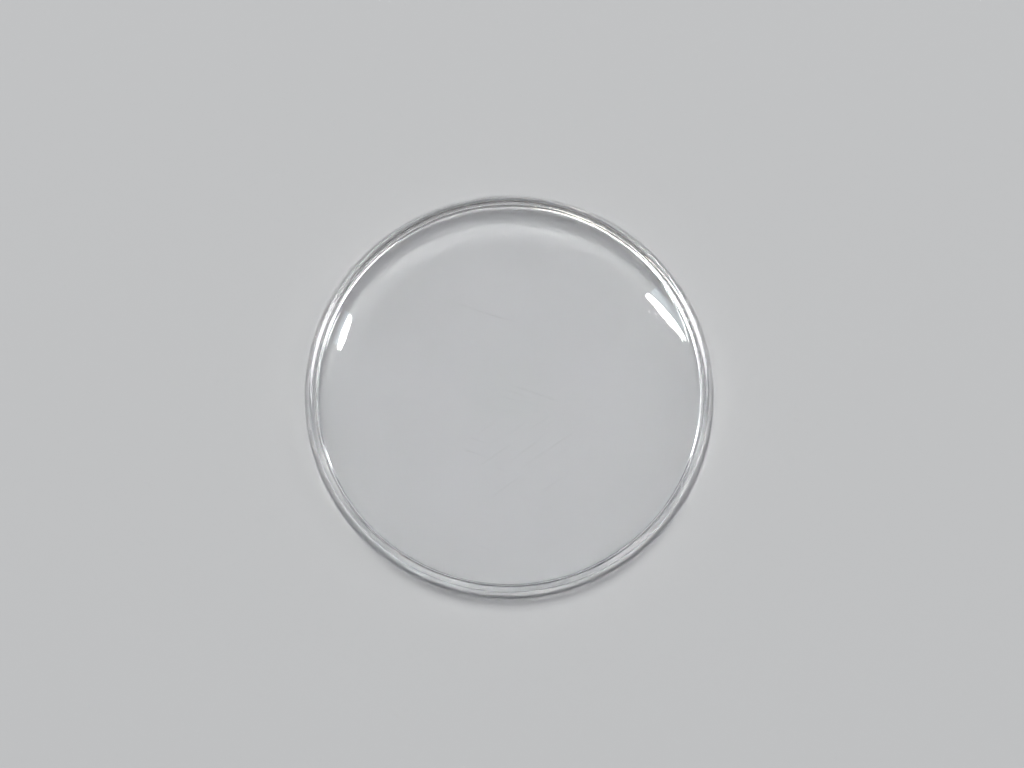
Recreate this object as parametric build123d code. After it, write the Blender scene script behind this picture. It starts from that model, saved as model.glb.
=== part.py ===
from build123d import *
from math import sqrt
import os

# A domed watch crystal, made in one piece from clear acrylic. All lengths are in millimetres.
# The origin is the middle of the bottom ring that the crystal stands on, and +Z points up
# through the top of the dome.

# Edge that the watch case grips, the widest place
EDGE_DIAMETER = 32.0
EDGE_LAND_HEIGHT = 0.25
EDGE_CHAMFER = 0.08

# Rim, from the edge in to the straight bore below the dome
RIM_WIDTH = 1.05
BORE_MOUTH_CHAMFER = 0.08
BORE_CORNER_ROUNDING = 0.35

# Shoulder, where the wall that leans in from the edge meets the dome
SHOULDER_INSET = 0.75
SHOULDER_HEIGHT = 1.9
SHOULDER_ROUNDING = 1.2

# Dome, a shell of even thickness between two spheres with one centre
DOME_RISE = 2.15
DOME_THICKNESS = 0.8


def section():
    """Half of the crystal's section, cut through its axis, as a flat face."""
    edge = EDGE_DIAMETER / 2
    shoulder = edge - SHOULDER_INSET
    bore = edge - RIM_WIDTH

    crown_height = SHOULDER_HEIGHT + DOME_RISE
    outer_radius = (shoulder**2 + DOME_RISE**2) / (2 * DOME_RISE)
    inner_radius = outer_radius - DOME_THICKNESS
    centre_height = crown_height - outer_radius

    shoulder_corner = (shoulder, SHOULDER_HEIGHT)
    bore_corner = (bore, centre_height + sqrt(inner_radius**2 - bore**2))
    bore_mouth = (bore, 0)
    base_corner = (edge, 0)
    land_top = (edge, EDGE_CHAMFER + EDGE_LAND_HEIGHT)
    outer_crown = (0, crown_height)
    inner_crown = (0, crown_height - DOME_THICKNESS)

    edges = Polyline(bore_corner, bore_mouth, base_corner, land_top, shoulder_corner).edges()
    edges += RadiusArc(shoulder_corner, outer_crown, -outer_radius).edges()
    edges += Line(outer_crown, inner_crown).edges()
    edges += RadiusArc(inner_crown, bore_corner, inner_radius).edges()
    half = make_face(edges)

    half = fillet(half.vertices().sort_by_distance(shoulder_corner)[0], SHOULDER_ROUNDING)
    half = fillet(half.vertices().sort_by_distance(bore_corner)[0], BORE_CORNER_ROUNDING)
    half = chamfer(half.vertices().sort_by_distance(bore_mouth)[0], BORE_MOUTH_CHAMFER)
    return chamfer(half.vertices().sort_by_distance(base_corner)[0], EDGE_CHAMFER)


def domed_crystal():
    """The section turned once round the axis, which gives the whole crystal."""
    return revolve(Plane.XZ * section(), axis=Axis.Z)


os.makedirs("parts", exist_ok=True)
crystal = domed_crystal()
export_step(crystal, "parts/domed_crystal.step")
print("domed_crystal", round(crystal.volume, 2), "mm3", crystal.bounding_box())
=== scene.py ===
"""The looks of a clear domed watch crystal, dressed around its packed construction model.

Lengths are in metres in the construction model's frame: the origin is the middle of the bottom
ring that the crystal stands on, and +Z points up through the top of the dome.
"""
import logging
import math
from dataclasses import dataclass
from enum import Enum
from typing import ClassVar

import bpy
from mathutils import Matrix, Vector


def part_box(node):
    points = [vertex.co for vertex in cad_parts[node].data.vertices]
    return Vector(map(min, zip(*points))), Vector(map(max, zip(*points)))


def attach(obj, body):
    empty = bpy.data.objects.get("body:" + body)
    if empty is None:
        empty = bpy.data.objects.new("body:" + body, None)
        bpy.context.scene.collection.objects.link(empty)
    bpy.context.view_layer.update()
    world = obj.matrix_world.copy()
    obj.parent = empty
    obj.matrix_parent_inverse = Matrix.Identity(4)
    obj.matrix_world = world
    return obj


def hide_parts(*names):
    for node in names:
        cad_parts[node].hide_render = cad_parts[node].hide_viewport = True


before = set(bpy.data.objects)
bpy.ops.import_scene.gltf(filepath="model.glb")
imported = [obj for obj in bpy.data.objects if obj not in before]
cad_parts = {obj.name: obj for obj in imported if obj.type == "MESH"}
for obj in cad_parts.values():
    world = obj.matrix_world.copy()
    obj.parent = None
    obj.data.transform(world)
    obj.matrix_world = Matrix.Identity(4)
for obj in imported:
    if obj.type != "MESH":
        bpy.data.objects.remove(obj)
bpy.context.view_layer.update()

MM = 0.001
CRYSTAL_NODE = "domed_crystal"
BODY = "root"

# How far the camera is from what it looks at, in radii of the crystal
CAMERA_RADII = 5.67
# Tells a ray that has bounced from one that hasn't
HALF_A_BOUNCE = 0.5

log = logging.getLogger("watch_crystal")

Point = tuple[float, float]
Limits = tuple[float, float]
Triple = tuple[float, float, float]
Socket = bpy.types.NodeSocket

BLACK: Triple = (0.0, 0.0, 0.0)
WHITE: Triple = (1.0, 1.0, 1.0)
DAYLIGHT: Triple = (1.0, 0.99, 0.96)
WARM_WHITE: Triple = (1.0, 0.96, 0.86)
COOL_WHITE: Triple = (0.97, 0.96, 1.0)
SKY_BLUE: Triple = (0.72, 0.9, 1.0)


class Zone(Enum):
    """The zones of the crystal's surface, each with a finish of its own."""

    DOME = "dome"
    SHOULDER = "shoulder"
    WALL = "wall"
    EDGE = "edge"
    BASE = "base"
    BORE = "bore"


class PanelShape(Enum):
    """The outlines that a bright panel can have, in Blender's words."""

    STRAIGHT = "RECTANGLE"
    ROUNDED = "ELLIPSE"


@dataclass(frozen=True)
class Stretch:
    """A stretch of the section's outline that wears one finish.

    Args:
        zone: The zone of the surface that the stretch sweeps out.
        points: The stretch's points as (radius, height), in the order that the outline runs.
    """

    zone: Zone
    points: list[Point]


def on_circle(centre: Point, radius: float, angle: float) -> Point:
    """Return the point of a circle that lies at an angle, in radians."""
    return centre[0] + radius * math.cos(angle), centre[1] + radius * math.sin(angle)


def arc(centre: Point, radius: float, start: float, end: float, steps: int) -> list[Point]:
    """Walk along an arc.

    Args:
        centre: The arc's centre.
        radius: Its radius.
        start: The angle it starts at, in radians.
        end: The angle it ends at, in radians.
        steps: How many equal steps it is walked in.

    Returns:
        The arc's points, both ends among them.
    """
    turns = [start + (end - start) * step / steps for step in range(steps + 1)]
    return [on_circle(centre, radius, turn) for turn in turns]


def eased_corner(before: Point, corner: Point, after: Point, radius: float, steps: int) -> list[Point]:
    """Round off a corner of the outline between two straight runs.

    Args:
        before: A point on the run that comes to the corner.
        corner: The sharp corner.
        after: A point on the run that leaves it.
        radius: The rounding's radius.
        steps: How many steps the rounding has.

    Returns:
        The rounding's points.
    """
    back = (Vector(before) - Vector(corner)).normalized()
    on = (Vector(after) - Vector(corner)).normalized()
    half = back.angle(on) / 2
    centre = Vector(corner) + (back + on).normalized() * (radius / math.sin(half))
    first = Vector(corner) + back * (radius / math.tan(half)) - centre
    last = Vector(corner) + on * (radius / math.tan(half)) - centre
    start = math.atan2(first.y, first.x)
    turn = math.remainder(math.atan2(last.y, last.x) - start, 2 * math.pi)
    return arc((centre.x, centre.y), radius, start, start + turn, steps)


def divided(start: Point, end: Point, parts: int) -> list[Point]:
    """Divide a straight run into equal parts.

    Args:
        start: Where the run starts.
        end: Where it ends.
        parts: How many parts there are.

    Returns:
        The run's points, both ends among them.
    """
    return [tuple(Vector(start).lerp(Vector(end), part / parts)) for part in range(parts + 1)]


@dataclass
class CrystalSection:
    """Half of the crystal's section, from its axis out to its edge.

    Args:
        edge_radius: Radius of the edge that the case grips.
        crown_height: Height of the dome's top.
        land_height: Height of the edge's short straight land.
        edge_chamfer: Chamfer under the edge.
        rim_width: Width of the rim from the edge in to the bore.
        mouth_chamfer: Chamfer at the bore's mouth.
        bore_rounding: Rounding between the bore and the underside of the dome.
        shoulder_inset: How far in from the edge the wall and the dome would meet.
        shoulder_height: How high they would meet.
        shoulder_rounding: Rounding of the shoulder between them.
        dome_thickness: Thickness of the dome.
        easing: Radius that polishing leaves on the small corners.
        dome_steps: How many steps each side of the dome has.
        shoulder_steps: How many steps the shoulder has.
        bore_rounding_steps: How many steps the rounding at the top of the bore has.
        easing_steps: How many steps an eased corner has.
        wall_parts: How many parts the straight wall has.
        straight_parts: How many parts the bore and the bottom ring each have.
    """

    edge_radius: float
    crown_height: float
    land_height: float = 0.25 * MM
    edge_chamfer: float = 0.08 * MM
    rim_width: float = 1.05 * MM
    mouth_chamfer: float = 0.08 * MM
    bore_rounding: float = 0.35 * MM
    shoulder_inset: float = 0.75 * MM
    shoulder_height: float = 1.9 * MM
    shoulder_rounding: float = 1.2 * MM
    dome_thickness: float = 0.8 * MM
    easing: float = 0.03 * MM
    dome_steps: int = 16
    shoulder_steps: int = 14
    bore_rounding_steps: int = 10
    easing_steps: int = 4
    wall_parts: int = 4
    straight_parts: int = 3

    def __post_init__(self) -> None:
        """Work out the bore, the shoulder and the two spheres of the dome from the sizes."""
        self.bore_radius = self.edge_radius - self.rim_width
        self.shoulder_radius = self.edge_radius - self.shoulder_inset
        rise = self.crown_height - self.shoulder_height
        self.outer_radius = (self.shoulder_radius**2 + rise**2) / (2 * rise)
        self.inner_radius = self.outer_radius - self.dome_thickness
        self.sphere_height = self.crown_height - self.outer_radius

    def land_top(self) -> Point:
        """Return the top of the edge's land, where the leaning wall starts."""
        return (self.edge_radius, self.edge_chamfer + self.land_height)

    def shoulder_arc(self) -> tuple[Point, float, float]:
        """Find the rounding that touches both the leaning wall and the outer sphere.

        Returns:
            Its centre, and the angles at which it touches the wall and the sphere.
        """
        foot = Vector(self.land_top())
        lean = (Vector((self.shoulder_radius, self.shoulder_height)) - foot).normalized()
        inward = Vector((-lean.y, lean.x))
        start = foot + inward * self.shoulder_rounding - Vector((0, self.sphere_height))
        reach = self.outer_radius - self.shoulder_rounding
        along = start.dot(lean)
        centre = start + lean * (math.sqrt(along**2 - start.length_squared + reach**2) - along)
        wall_angle = math.atan2(-inward.y, -inward.x)
        dome_angle = math.atan2(centre.y, centre.x)
        return (centre.x, centre.y + self.sphere_height), wall_angle, dome_angle

    def bore_corner(self) -> tuple[Point, float]:
        """Find the rounding between the bore and the underside of the dome.

        Returns:
            Its centre, and the angle at which it touches the inner sphere.
        """
        across = self.bore_radius - self.bore_rounding
        up = math.sqrt((self.inner_radius - self.bore_rounding) ** 2 - across**2)
        return (across, up + self.sphere_height), math.atan2(up, across)

    def underside(self) -> Stretch:
        """Return the underside of the dome, from the axis out to the top of the bore."""
        centre, angle = self.bore_corner()
        sphere = arc((0, self.sphere_height), self.inner_radius, math.pi / 2, angle, self.dome_steps)
        corner = arc(centre, self.bore_rounding, angle, 0, self.bore_rounding_steps)
        return Stretch(Zone.DOME, sphere + corner[1:])

    def rim(self) -> list[Stretch]:
        """Return the bore, the bottom ring, the edge and the wall, up to the shoulder."""
        shoulder, wall_angle, _ = self.shoulder_arc()
        bore_top = (self.bore_radius, self.bore_corner()[0][1])
        wall_top = on_circle(shoulder, self.shoulder_rounding, wall_angle)
        run = [
            bore_top,
            (self.bore_radius, self.mouth_chamfer),
            (self.bore_radius + self.mouth_chamfer, 0),
            (self.edge_radius - self.edge_chamfer, 0),
            (self.edge_radius, self.edge_chamfer),
            self.land_top(),
            wall_top,
        ]
        mouth, foot, heel, low, high = (
            eased_corner(*run[k:k + 3], self.easing, self.easing_steps) for k in range(len(run) - 2)
        )
        bore = divided(bore_top, mouth[0], self.straight_parts) + mouth[1:]
        ring = divided(foot[-1], heel[0], self.straight_parts)
        return [
            Stretch(Zone.BORE, bore),
            Stretch(Zone.BASE, mouth[-1:] + foot + ring[1:] + heel[1:]),
            Stretch(Zone.EDGE, heel[-1:] + low + high),
            Stretch(Zone.WALL, divided(high[-1], wall_top, self.wall_parts)),
        ]

    def upper_side(self) -> list[Stretch]:
        """Return the shoulder and the outside of the dome, in to the axis."""
        centre, wall_angle, dome_angle = self.shoulder_arc()
        shoulder = arc(centre, self.shoulder_rounding, wall_angle, dome_angle, self.shoulder_steps)
        dome = arc((0, self.sphere_height), self.outer_radius, dome_angle, math.pi / 2, self.dome_steps)
        return [Stretch(Zone.SHOULDER, shoulder), Stretch(Zone.DOME, dome)]

    def outline(self) -> list[Stretch]:
        """Return the whole outline, from the axis under the dome round to the axis on top."""
        return [self.underside(), *self.rim(), *self.upper_side()]


class Wiring:
    """Adds nodes to one node tree and joins them.

    The numbers of the Mix node's sockets are those that it uses for vectors, and so for colours.

    Args:
        tree: The node tree to work in, which is emptied first.
    """

    MIX_SHARE: ClassVar[int] = 0
    MIX_FIRST: ClassVar[int] = 4
    MIX_SECOND: ClassVar[int] = 5
    MIX_RESULT: ClassVar[int] = 1

    def __init__(self, tree: bpy.types.NodeTree) -> None:
        """Keep the tree, and empty it."""
        self.tree = tree
        tree.nodes.clear()

    def add(self, kind: str, sockets: dict | None = None, **settings) -> bpy.types.Node:
        """Add a node.

        Args:
            kind: The node's type.
            sockets: What goes into each input: an output socket to join, or a plain value.
            **settings: The node's own settings.

        Returns:
            The new node.
        """
        node = self.tree.nodes.new(kind)
        for name, value in settings.items():
            setattr(node, name, value)
        for name, value in (sockets or {}).items():
            if isinstance(value, Socket):
                self.tree.links.new(value, node.inputs[name])
            else:
                node.inputs[name].default_value = value
        return node

    def maths(self, operation: str, *values: Socket | float) -> Socket:
        """Add a sum of some numbers, each a plain value or a socket, and return its result."""
        return self.add("ShaderNodeMath", dict(enumerate(values)), operation=operation).outputs[0]

    def vector_maths(self, operation: str, first: Socket | Triple, second: Socket | Triple) -> bpy.types.Node:
        """Add a sum of two vectors, each a plain value or a socket, and return its node."""
        return self.add("ShaderNodeVectorMath", {0: first, 1: second}, operation=operation)

    def spread(self, value: Socket, limits: Limits) -> Socket:
        """Ease the part of a value between two limits out over 0 to 1, and return the result."""
        sockets = {"Value": value, "From Min": limits[0], "From Max": limits[1]}
        node = self.add("ShaderNodeMapRange", sockets, interpolation_type="SMOOTHSTEP")
        return node.outputs["Result"]

    def noise(self, place: Socket, scale: Socket, detail: float, seed: float = 0.0) -> Socket:
        """Add a noise over a place in space, and return its value, which is about 0.5."""
        sockets = {"Vector": place, "Scale": scale, "Detail": detail, "W": seed}
        return self.add("ShaderNodeTexNoise", sockets, noise_dimensions="4D").outputs["Fac"]

    def mixed(self, share: Socket, first: Socket | Triple, second: Socket | Triple) -> Socket:
        """Mix two colours.

        Args:
            share: The second colour's share.
            first: The first colour, or a socket that holds it.
            second: The second colour, or a socket that holds it.

        Returns:
            The socket that holds the mix.
        """
        sockets = {self.MIX_SHARE: share, self.MIX_FIRST: first, self.MIX_SECOND: second}
        node = self.add("ShaderNodeMix", data_type="VECTOR", clamp_factor=True, sockets=sockets)
        return node.outputs[self.MIX_RESULT]


@dataclass
class SurfaceEffects:
    """The node groups that the finishes share. Each puts out values that change over the surface.

    Args:
        mark_directions: The directions of the hairlines in radians, each with its noise's seed.
        mark_squeeze: How space is squeezed along the hairlines, which draws the noise out in lines.
        mark_detail: Detail of the noise that the hairlines come from.
        mark_limits: The part of that noise in which a hairline comes up.
        patch_detail: Detail of the noise that gathers the hairlines in patches.
        patch_limits: The part of that noise in which a patch comes up.
        ring_detail: Detail of the noise that the turning rings come from.
        ring_limits: The part of that noise that goes from a groove up to a ridge.
        film_detail: Detail of the noise that the film of handling comes from.
        film_limits: The part of that noise in which the film comes up.
    """

    mark_directions: tuple[tuple[float, float], ...] = ((0.35, 0.0), (1.45, 3.1), (2.55, 7.7))
    mark_squeeze: Triple = (0.02, 1.0, 0.02)
    mark_detail: float = 1.0
    mark_limits: Limits = (0.62, 0.72)
    patch_detail: float = 2.0
    patch_limits: Limits = (0.5, 0.62)
    ring_detail: float = 2.0
    ring_limits: Limits = (0.3, 0.7)
    film_detail: float = 4.0
    film_limits: Limits = (0.4, 0.75)

    def __post_init__(self) -> None:
        """Build each group once."""
        self.hairlines = self.build_hairlines()
        self.turning = self.build_turning()
        self.handling = self.build_handling()

    @staticmethod
    def start(
        name: str, inputs: dict[str, float], output: str
    ) -> tuple[bpy.types.NodeTree, Wiring, bpy.types.bpy_prop_collection]:
        """Start a node group.

        Args:
            name: The group's name.
            inputs: Its inputs, each with the value that it has unless another is set.
            output: Its output.

        Returns:
            The group, its wiring, and the sockets that give its inputs.
        """
        group = bpy.data.node_groups.new(name, "ShaderNodeTree")
        for label, value in inputs.items():
            socket = group.interface.new_socket(label, in_out="INPUT", socket_type="NodeSocketFloat")
            socket.default_value = value
        group.interface.new_socket(output, in_out="OUTPUT", socket_type="NodeSocketFloat")
        wiring = Wiring(group)
        return group, wiring, wiring.add("NodeGroupInput").outputs

    def build_hairlines(self) -> bpy.types.NodeTree:
        """Build the fine straight marks that wiping leaves, in patches and several directions.

        Returns:
            The group, whose Marks are 1 in a mark and 0 beside it.
        """
        group, wiring, given = self.start("hairlines", {"Marks per mm": 7.0, "Patch size": 6.0}, "Marks")
        place = wiring.add("ShaderNodeTexCoord").outputs["Object"]
        across = wiring.maths("DIVIDE", given["Marks per mm"], MM)
        patches = wiring.maths("DIVIDE", 1 / MM, given["Patch size"])
        marks = None
        for turn, seed in self.mark_directions:
            turned = wiring.add("ShaderNodeVectorRotate", {"Vector": place, "Angle": turn}).outputs[0]
            drawn = wiring.vector_maths("MULTIPLY", turned, self.mark_squeeze).outputs[0]
            line = wiring.spread(wiring.noise(drawn, across, self.mark_detail, seed), self.mark_limits)
            patch = wiring.spread(wiring.noise(place, patches, self.patch_detail, seed), self.patch_limits)
            line = wiring.maths("MULTIPLY", line, patch)
            marks = line if marks is None else wiring.maths("MAXIMUM", marks, line)
        wiring.add("NodeGroupOutput", {"Marks": marks})
        return group

    def build_turning(self) -> bpy.types.NodeTree:
        """Build the rings that a lathe tool leaves round the axis.

        Returns:
            The group, whose Rings go from 0 in a groove to 1 on a ridge.
        """
        group, wiring, given = self.start("turning rings", {"Rings per mm": 14.0}, "Rings")
        place = wiring.add("ShaderNodeTexCoord").outputs["Object"]
        part = wiring.add("ShaderNodeSeparateXYZ", {0: place}).outputs
        squares = [wiring.maths("POWER", part[axis], 2) for axis in ("X", "Y")]
        radius = wiring.maths("SQRT", wiring.maths("ADD", *squares))
        along = wiring.maths("MULTIPLY", wiring.maths("ADD", radius, part["Z"]), 1 / MM)
        count = wiring.maths("MULTIPLY", along, given["Rings per mm"])
        sockets = {"W": count, "Scale": 1.0, "Detail": self.ring_detail}
        ring = wiring.add("ShaderNodeTexNoise", sockets, noise_dimensions="1D").outputs["Fac"]
        wiring.add("NodeGroupOutput", {"Rings": wiring.spread(ring, self.ring_limits)})
        return group

    def build_handling(self) -> bpy.types.NodeTree:
        """Build the faint cloudy film that handling leaves.

        Returns:
            The group, whose Film goes from 0 where the surface is clean to 1.
        """
        group, wiring, given = self.start("handling film", {"Cloud size": 4.0}, "Film")
        place = wiring.add("ShaderNodeTexCoord").outputs["Object"]
        scale = wiring.maths("DIVIDE", 1 / MM, given["Cloud size"])
        clouds = wiring.noise(place, scale, self.film_detail)
        wiring.add("NodeGroupOutput", {"Film": wiring.spread(clouds, self.film_limits)})
        return group


@dataclass(frozen=True)
class AcrylicFinish:
    """Clear acrylic with one kind of surface.

    Args:
        zone: The zone of the crystal that wears it.
        roughness: Roughness of the clean surface.
        film: How much roughness the film of handling adds at most.
        marks: How much roughness a hairline adds.
        rings: How much roughness a ridge of the turning adds.
        ring_depth: How deep the grooves are.
        rings_per_mm: How close they lie.
        tint: Colour that the acrylic gives to light that passes its surface.
    """

    zone: Zone
    roughness: float
    film: float
    marks: float = 0.0
    rings: float = 0.0
    ring_depth: float = 0.0
    rings_per_mm: float = 14.0
    tint: Triple = (0.985, 0.988, 0.99)

    refraction: ClassVar[float] = 1.49

    def material(self, effects: SurfaceEffects) -> bpy.types.Material:
        """Build the finish's material.

        Args:
            effects: The node groups that the finishes share.

        Returns:
            The material.
        """
        material = bpy.data.materials.new("acrylic_" + self.zone.value)
        material.use_nodes = True
        wiring = Wiring(material.node_tree)
        film = wiring.add("ShaderNodeGroup", node_tree=effects.handling).outputs["Film"]
        rough = wiring.maths("MULTIPLY_ADD", film, self.film, self.roughness)
        sockets = {
            "Base Color": (*self.tint, 1.0),
            "IOR": self.refraction,
            "Metallic": 0.0,
            "Transmission Weight": 1.0,
        }
        if self.marks:
            marks = wiring.add("ShaderNodeGroup", node_tree=effects.hairlines).outputs["Marks"]
            rough = wiring.maths("ADD", rough, wiring.maths("MULTIPLY", marks, self.marks))
        if self.ring_depth:
            spacing = {"Rings per mm": self.rings_per_mm}
            turning = wiring.add("ShaderNodeGroup", node_tree=effects.turning, sockets=spacing)
            rings = turning.outputs["Rings"]
            rough = wiring.maths("ADD", rough, wiring.maths("MULTIPLY", rings, self.rings))
            heights = {"Height": rings, "Distance": self.ring_depth, "Strength": 1.0}
            sockets["Normal"] = wiring.add("ShaderNodeBump", heights).outputs["Normal"]
        sockets["Roughness"] = rough
        surface = wiring.add("ShaderNodeBsdfPrincipled", sockets).outputs["BSDF"]
        wiring.add("ShaderNodeOutputMaterial", {"Surface": surface})
        return material


@dataclass
class DomedCrystal:
    """The crystal itself, one turned and polished piece of clear acrylic.

    Args:
        section: Half of its section.
        finishes: The finish of each zone of its surface.
        turns: How many steps the section is turned round the axis in.
    """

    section: CrystalSection
    finishes: tuple[AcrylicFinish, ...]
    turns: int = 900

    def bands(self) -> tuple[list[Point], list[Zone]]:
        """Return the outline's points, and the zone of each band between two of them."""
        points, zones = [], []
        for stretch in self.section.outline():
            points += stretch.points[1:] if points else stretch.points
            zones += [stretch.zone] * (len(stretch.points) - 1)
        return points, zones

    def build(self) -> bpy.types.Object:
        """Turn the section round the axis into one closed mesh, with its poles as single points.

        Returns:
            The crystal's object, with a finish's number on each face and no slot filled yet.
        """
        points, zones = self.bands()
        slots = [finish.zone for finish in self.finishes]
        under, *between, top = points
        vertices = [(0, 0, under[1])]
        for radius, height in between:
            for step in range(self.turns):
                vertices.append((*on_circle((0, 0), radius, 2 * math.pi * step / self.turns), height))
        vertices.append((0, 0, top[1]))
        faces, worn = [], []
        for band, zone in enumerate(zones):
            faces += [self.face(band, step, len(between)) for step in range(self.turns)]
            worn += [slots.index(zone)] * self.turns
        mesh = bpy.data.meshes.new("clear_crystal")
        mesh.from_pydata(vertices, [], faces)
        mesh.polygons.foreach_set("material_index", worn)
        mesh.polygons.foreach_set("use_smooth", [True] * len(faces))
        mesh.update()
        crystal = bpy.data.objects.new("clear_crystal", mesh)
        bpy.context.scene.collection.objects.link(crystal)
        return crystal

    def face(self, band: int, step: int, ring_count: int) -> tuple[int, ...]:
        """Name the corners of one face, so that it looks out of the acrylic.

        Args:
            band: The band of the outline that the face lies in, counted from the lower pole.
            step: Its step round the axis.
            ring_count: How many rings of points lie between the poles.

        Returns:
            The numbers of its corners: three beside a pole, and four elsewhere.
        """
        following = (step + 1) % self.turns
        near, far = 1 + (band - 1) * self.turns, 1 + band * self.turns
        if band == 0:
            return (0, far + following, far + step)
        if band == ring_count:
            return (near + step, near + following, far)
        return (near + step, near + following, far + following, far + step)

    def dress(self, crystal: bpy.types.Object, effects: SurfaceEffects) -> None:
        """Give the crystal its finishes.

        Args:
            crystal: The crystal's object.
            effects: The node groups that the finishes share.
        """
        for finish in self.finishes:
            crystal.data.materials.append(finish.material(effects))

    def make(self, effects: SurfaceEffects) -> bpy.types.Object:
        """Build and dress the crystal, and hand it over to the construction model's frame.

        Args:
            effects: The node groups that the finishes share.

        Returns:
            The crystal's object.
        """
        crystal = self.build()
        self.dress(crystal, effects)
        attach(crystal, BODY)
        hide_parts(CRYSTAL_NODE)
        return crystal


def direction(azimuth: float, elevation: float) -> Triple:
    """Return the direction from the crystal at an azimuth from +X and an elevation, in degrees."""
    around, up = math.radians(azimuth), math.radians(elevation)
    return math.cos(up) * math.cos(around), math.cos(up) * math.sin(around), math.sin(up)


def width_seen(angle: float, reach: float) -> float:
    """Return the width of a thing that fills an angle in radians, as seen from its distance."""
    return 2 * reach * math.tan(angle / 2)


def face_power(radiance: float, area: float) -> float:
    """Return the power of a lamp whose flat face has this radiance and this area."""
    return math.pi * radiance * area


def aim_at_crystal(light: bpy.types.Object, azimuth: float, elevation: float, reach: float) -> None:
    """Put a lamp round the crystal, facing it, and take it into the scene.

    Args:
        light: The lamp's object.
        azimuth: Its direction round the crystal from +X, in degrees.
        elevation: Its height above the floor as the crystal sees it, in degrees.
        reach: Its distance from the crystal.
    """
    light.location = Vector(direction(azimuth, elevation)) * reach
    light.rotation_euler = (-light.location).to_track_quat("-Z", "Y").to_euler()
    bpy.context.scene.collection.objects.link(light)


@dataclass(frozen=True)
class Panel:
    """A bright panel that shows only in gloss, as a window does in a polished surface.

    Args:
        name: The panel's name.
        azimuth: Its direction round the crystal from +X, in degrees.
        elevation: Its height above the floor as the crystal sees it, in degrees.
        width: Its width as the crystal sees it, in degrees.
        height: Its height as the crystal sees it, in degrees.
        roll: How far it is turned about the line to the crystal, in degrees.
        radiance: Its brightness, where a white sheet under the studio's light has about 1.
        colour: Its colour.
        shape: Its outline.
        reach: Its distance from the crystal.
    """

    name: str
    azimuth: float
    elevation: float
    width: float
    height: float
    roll: float = 0.0
    radiance: float = 60.0
    colour: Triple = WHITE
    shape: PanelShape = PanelShape.STRAIGHT
    reach: float = 0.5

    def fill(self) -> float:
        """Return the share of its width times its height that the panel's face fills."""
        return math.pi / 4 if self.shape is PanelShape.ROUNDED else 1.0

    def hang(self) -> bpy.types.Object:
        """Hang the panel, facing the crystal.

        Returns:
            Its lamp.
        """
        lamp = bpy.data.lights.new(self.name, "AREA")
        lamp.shape = self.shape.value
        lamp.size = width_seen(math.radians(self.width), self.reach)
        lamp.size_y = width_seen(math.radians(self.height), self.reach)
        lamp.energy = face_power(self.radiance, self.fill() * lamp.size * lamp.size_y)
        lamp.color = self.colour
        lamp.diffuse_factor = 0.0
        lamp.use_nodes = True
        wiring = Wiring(lamp.node_tree)
        depth = wiring.add("ShaderNodeLightPath").outputs["Diffuse Depth"]
        strength = wiring.maths("LESS_THAN", depth, HALF_A_BOUNCE)
        emission = wiring.add("ShaderNodeEmission", {"Strength": strength}).outputs[0]
        wiring.add("ShaderNodeOutputLight", {"Surface": emission})
        light = bpy.data.objects.new(self.name, lamp)
        light.visible_diffuse = False
        aim_at_crystal(light, self.azimuth, self.elevation, self.reach)
        light.rotation_euler.rotate_axis("Z", math.radians(self.roll))
        return light


@dataclass(frozen=True)
class SoftLamp:
    """A soft lamp that lights the floor and casts the crystal's shadow, and shows in no gloss.

    Args:
        name: The lamp's name.
        azimuth: Its direction round the crystal from +X, in degrees.
        elevation: Its height above the floor as the crystal sees it, in degrees.
        spread: Its width as the crystal sees it, in degrees.
        share: The light that it puts on the floor, where 1 is all that a plain level has.
        colour: Its colour.
        reach: Its distance from the crystal.
    """

    name: str
    azimuth: float
    elevation: float
    spread: float
    share: float
    colour: Triple = WHITE
    reach: float = 3.0

    def half_spread(self) -> float:
        """Return half of the lamp's width as the crystal sees it, in radians."""
        return math.radians(self.spread) / 2

    def radiance(self) -> float:
        """Return how bright the lamp's face is."""
        return self.share / (math.tan(self.half_spread()) ** 2 * math.sin(math.radians(self.elevation)))

    def hang(self) -> bpy.types.Object:
        """Hang the lamp, facing the crystal.

        Returns:
            Its lamp.
        """
        lamp = bpy.data.lights.new(self.name, "AREA")
        lamp.shape = "DISK"
        lamp.size = width_seen(math.radians(self.spread), self.reach)
        lamp.energy = face_power(self.radiance(), math.pi * (lamp.size / 2) ** 2)
        lamp.color = self.colour
        light = bpy.data.objects.new(self.name, lamp)
        light.visible_glossy = False
        light.visible_transmission = False
        aim_at_crystal(light, self.azimuth, self.elevation, self.reach)
        return light


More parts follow.
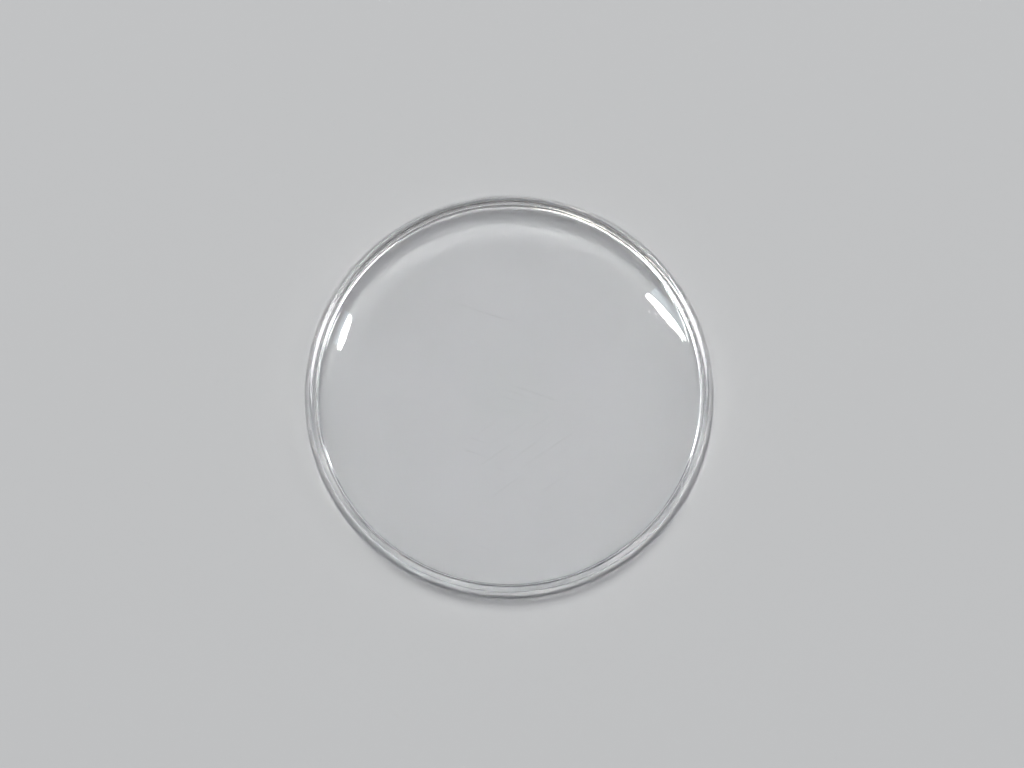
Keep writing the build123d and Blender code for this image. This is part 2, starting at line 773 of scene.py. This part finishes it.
@dataclass
class Studio:
    """A plain pale floor under plain soft light, most of which comes from behind.

    Args:
        panels: The bright panels.
        lamps: The soft lamps.
        floor_colour: Colour of the floor.
        floor_gap: How far the floor lies below the crystal, as a hair's breadth of air.
        floor_reach: Half of the floor's width.
        horizon: Colour of the light that comes from all round, right above the floor.
        front: Colour of the light that comes from the front.
        back: Colour of the light that comes from the back.
        overhead: Colour of the light that comes from straight above.
        front_to_back: How far back the front's colour starts to turn into the back's, and ends.
        sides_to_overhead: How high the sides' colour starts to turn into that overhead, and ends.
        horizon_to_sky: How high the horizon's colour starts to turn into the sky's, and ends.
        glossy_bounces: How often light may bounce off gloss.
        bent_bounces: How often light may bounce in all, or pass through the acrylic's surface.
    """

    panels: tuple[Panel, ...]
    lamps: tuple[SoftLamp, ...]
    floor_colour: Triple = (0.51, 0.52, 0.53)
    floor_gap: float = 0.02 * MM
    floor_reach: float = 3.0
    horizon: Triple = (0.46, 0.465, 0.47)
    front: Triple = (0.04, 0.04, 0.055)
    back: Triple = (0.2, 0.195, 0.19)
    overhead: Triple = (0.52, 0.52, 0.55)
    front_to_back: Limits = (-0.15, 0.75)
    sides_to_overhead: Limits = (0.72, 0.99)
    horizon_to_sky: Limits = (0.02, 0.22)
    glossy_bounces: int = 16
    bent_bounces: int = 24

    def lay_floor(self) -> bpy.types.Object:
        """Lay the floor.

        Returns:
            The floor's object.
        """
        reach = self.floor_reach
        corners = [(x * reach, y * reach, -self.floor_gap) for x, y in ((-1, -1), (1, -1), (1, 1), (-1, 1))]
        mesh = bpy.data.meshes.new("pale_floor")
        mesh.from_pydata(corners, [], [(0, 1, 2, 3)])
        floor = bpy.data.objects.new("pale_floor", mesh)
        bpy.context.scene.collection.objects.link(floor)
        material = bpy.data.materials.new("pale_floor")
        material.use_nodes = True
        wiring = Wiring(material.node_tree)
        sockets = {"Base Color": (*self.floor_colour, 1.0), "Roughness": 1.0, "Specular IOR Level": 0.0}
        surface = wiring.add("ShaderNodeBsdfPrincipled", sockets).outputs["BSDF"]
        wiring.add("ShaderNodeOutputMaterial", {"Surface": surface})
        mesh.materials.append(material)
        return floor

    def light_world(self) -> None:
        """Light the world: dim in front, brighter behind and overhead, and pale at the horizon."""
        world = bpy.data.worlds.new("studio")
        world.use_nodes = True
        world.cycles.sampling_method = "NONE"
        bpy.context.scene.world = world
        wiring = Wiring(world.node_tree)
        way = wiring.add("ShaderNodeTexCoord").outputs["Generated"]
        part = wiring.add("ShaderNodeSeparateXYZ", {0: way}).outputs
        sides = wiring.mixed(wiring.spread(part["Y"], self.front_to_back), self.front, self.back)
        sky = wiring.mixed(wiring.spread(part["Z"], self.sides_to_overhead), sides, self.overhead)
        whole = wiring.mixed(wiring.spread(part["Z"], self.horizon_to_sky), self.horizon, sky)
        bent = self.bent_rays(wiring)
        for lamp in self.lamps:
            whole = self.with_lamp(wiring, whole, way, bent, lamp)
        background = wiring.add("ShaderNodeBackground", {"Color": whole}).outputs[0]
        wiring.add("ShaderNodeOutputWorld", {"Surface": background})

    @staticmethod
    def bent_rays(wiring: Wiring) -> Socket:
        """Tell the rays that left the floor and were then bent by the acrylic from all others.

        Args:
            wiring: The wiring of the world's tree.

        Returns:
            The socket that is 1 for such a ray, and 0 for any other.
        """
        path = wiring.add("ShaderNodeLightPath").outputs
        not_straight = wiring.maths("SUBTRACT", 1.0, path["Is Diffuse Ray"])
        from_floor = wiring.maths("GREATER_THAN", path["Diffuse Depth"], HALF_A_BOUNCE)
        return wiring.maths("MULTIPLY", not_straight, from_floor)

    @staticmethod
    def with_lamp(wiring: Wiring, whole: Socket, way: Socket, bent: Socket, lamp: SoftLamp) -> Socket:
        """Draw a soft lamp in the world for the bent rays, which don't find the lamp itself.

        Args:
            wiring: The wiring of the world's tree.
            whole: The world's colour so far.
            way: The direction that is looked in.
            bent: Which rays are bent.
            lamp: The lamp.

        Returns:
            The world's colour with the lamp in it.
        """
        dot = wiring.vector_maths("DOT_PRODUCT", way, direction(lamp.azimuth, lamp.elevation))
        disc = wiring.maths("GREATER_THAN", dot.outputs["Value"], math.cos(lamp.half_spread()))
        disc = wiring.maths("MULTIPLY", disc, bent)
        bright = tuple(lamp.radiance() * part for part in lamp.colour)
        glow = wiring.mixed(disc, BLACK, bright)
        return wiring.vector_maths("ADD", whole, glow).outputs[0]

    def set_up(self) -> None:
        """Lay the floor, light the world, hang the panels and let light pass the acrylic often."""
        self.lay_floor()
        self.light_world()
        for light in (*self.panels, *self.lamps):
            light.hang()
            log.info("light %s", light.name)
        scene = bpy.context.scene
        scene.view_settings.view_transform = "Standard"
        scene.cycles.max_bounces = self.bent_bounces
        scene.cycles.transmission_bounces = self.bent_bounces
        scene.cycles.glossy_bounces = self.glossy_bounces
        scene.cycles.blur_glossy = 0.0
        scene.cycles.sample_clamp_indirect = 0.0
        scene.cycles.use_guiding = True


@dataclass
class PhotoCamera:
    """The camera, at the photograph's viewing angle.

    Args:
        distance: How far it is from the point that it looks at.
        aim: The point on the floor that it looks at.
        tilt: How far it leans from straight down, in degrees, towards -Y.
        focal_pixels: Its focal length in pixels of the photograph.
        photo_width: The photograph's width in pixels.
        nearest: The least distance that it shows.
        farthest: The greatest distance that it shows.
    """

    distance: float
    aim: Point = (0.22 * MM, 0.59 * MM)
    tilt: float = 10.0
    focal_pixels: float = 1152.0
    photo_width: float = 1024.0
    nearest: float = 1 * MM
    farthest: float = 10.0

    def place(self) -> bpy.types.Object:
        """Place the camera and make it the scene's own.

        Returns:
            The camera's object.
        """
        data = bpy.data.cameras.new("photo_camera")
        data.lens = self.focal_pixels / self.photo_width * data.sensor_width
        data.clip_start = self.nearest
        data.clip_end = self.farthest
        lean = math.radians(self.tilt)
        camera = bpy.data.objects.new("photo_camera", data)
        camera.location = (
            self.aim[0],
            self.aim[1] - self.distance * math.sin(lean),
            self.distance * math.cos(lean),
        )
        camera.rotation_euler = (lean, 0.0, 0.0)
        bpy.context.scene.collection.objects.link(camera)
        bpy.context.scene.camera = camera
        return camera


FINISHES = (
    AcrylicFinish(Zone.DOME, roughness=0.008, film=0.01, marks=0.06),
    AcrylicFinish(Zone.SHOULDER, roughness=0.012, film=0.015, marks=0.08),
    AcrylicFinish(Zone.WALL, roughness=0.03, film=0.03, rings=0.04, ring_depth=0.0005 * MM),
    AcrylicFinish(Zone.EDGE, roughness=0.35, film=0.05, rings=0.1, ring_depth=0.001 * MM),
    AcrylicFinish(Zone.BASE, roughness=0.04, film=0.03, rings=0.03, ring_depth=0.0003 * MM),
    AcrylicFinish(Zone.BORE, roughness=0.02, film=0.02, rings=0.02, ring_depth=0.0002 * MM),
)

PANELS = (
    Panel("left_window", azimuth=148.2, elevation=47.9, width=7.4, height=0.95, roll=15.0,
          shape=PanelShape.ROUNDED),
    Panel("left_sky", azimuth=147.4, elevation=46.7, width=7.0, height=1.6, roll=14.0,
          radiance=2.2, colour=SKY_BLUE),
    Panel("left_strip", azimuth=143.5, elevation=39.6, width=38.0, height=3.2, radiance=18.0,
          shape=PanelShape.ROUNDED),
    Panel("left_low_strip", azimuth=165.0, elevation=42.5, width=22.0, height=1.6, radiance=7.0,
          shape=PanelShape.ROUNDED),
    Panel("left_end", azimuth=189.0, elevation=42.3, width=5.0, height=2.4),
    Panel("left_glow", azimuth=188.0, elevation=20.0, width=84.0, height=32.0, radiance=1.1,
          colour=COOL_WHITE),
    Panel("right_window", azimuth=36.9, elevation=47.3, width=12.2, height=1.1, roll=4.5,
          shape=PanelShape.ROUNDED),
    Panel("right_sky", azimuth=38.4, elevation=45.5, width=10.0, height=2.0, roll=4.5,
          radiance=2.2, colour=SKY_BLUE),
    Panel("right_warm_strip", azimuth=66.0, elevation=38.0, width=30.0, height=2.8, radiance=16.0,
          colour=WARM_WHITE, shape=PanelShape.ROUNDED),
    Panel("right_strip", azimuth=38.0, elevation=39.2, width=32.0, height=5.8, radiance=22.0,
          shape=PanelShape.ROUNDED),
    Panel("right_low_strip", azimuth=12.0, elevation=42.4, width=32.0, height=2.6, radiance=10.0,
          shape=PanelShape.ROUNDED),
    Panel("right_end", azimuth=-4.0, elevation=41.5, width=7.0, height=2.4),
    Panel("right_glow", azimuth=-6.0, elevation=20.0, width=90.0, height=32.0, radiance=0.9,
          colour=COOL_WHITE),
)

LAMPS = (
    SoftLamp("back_lamp", azimuth=95.0, elevation=60.0, spread=20.0, share=0.28, colour=DAYLIGHT),
    SoftLamp("low_back_lamp", azimuth=95.0, elevation=50.0, spread=17.0, share=0.39, colour=DAYLIGHT),
    SoftLamp("right_lamp", azimuth=45.0, elevation=50.0, spread=14.0, share=0.08),
    SoftLamp("far_right_lamp", azimuth=24.0, elevation=34.0, spread=14.0, share=0.05),
    SoftLamp("left_lamp", azimuth=147.0, elevation=50.0, spread=14.0, share=0.04),
)


def main() -> None:
    """Build the crystal to the construction model's size, then the studio and the camera, and log the
    crystal's face count.
    """
    logging.basicConfig(level=logging.INFO, format="%(name)s: %(message)s")
    low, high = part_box(CRYSTAL_NODE)
    section = CrystalSection(edge_radius=(high.x - low.x) / 2, crown_height=high.z)
    crystal = DomedCrystal(section, FINISHES).make(SurfaceEffects())
    log.info("piece %s with %d faces", crystal.name, len(crystal.data.polygons))
    Studio(PANELS, LAMPS).set_up()
    PhotoCamera(distance=CAMERA_RADII * section.edge_radius).place()


if __name__ == "__main__":
    main()
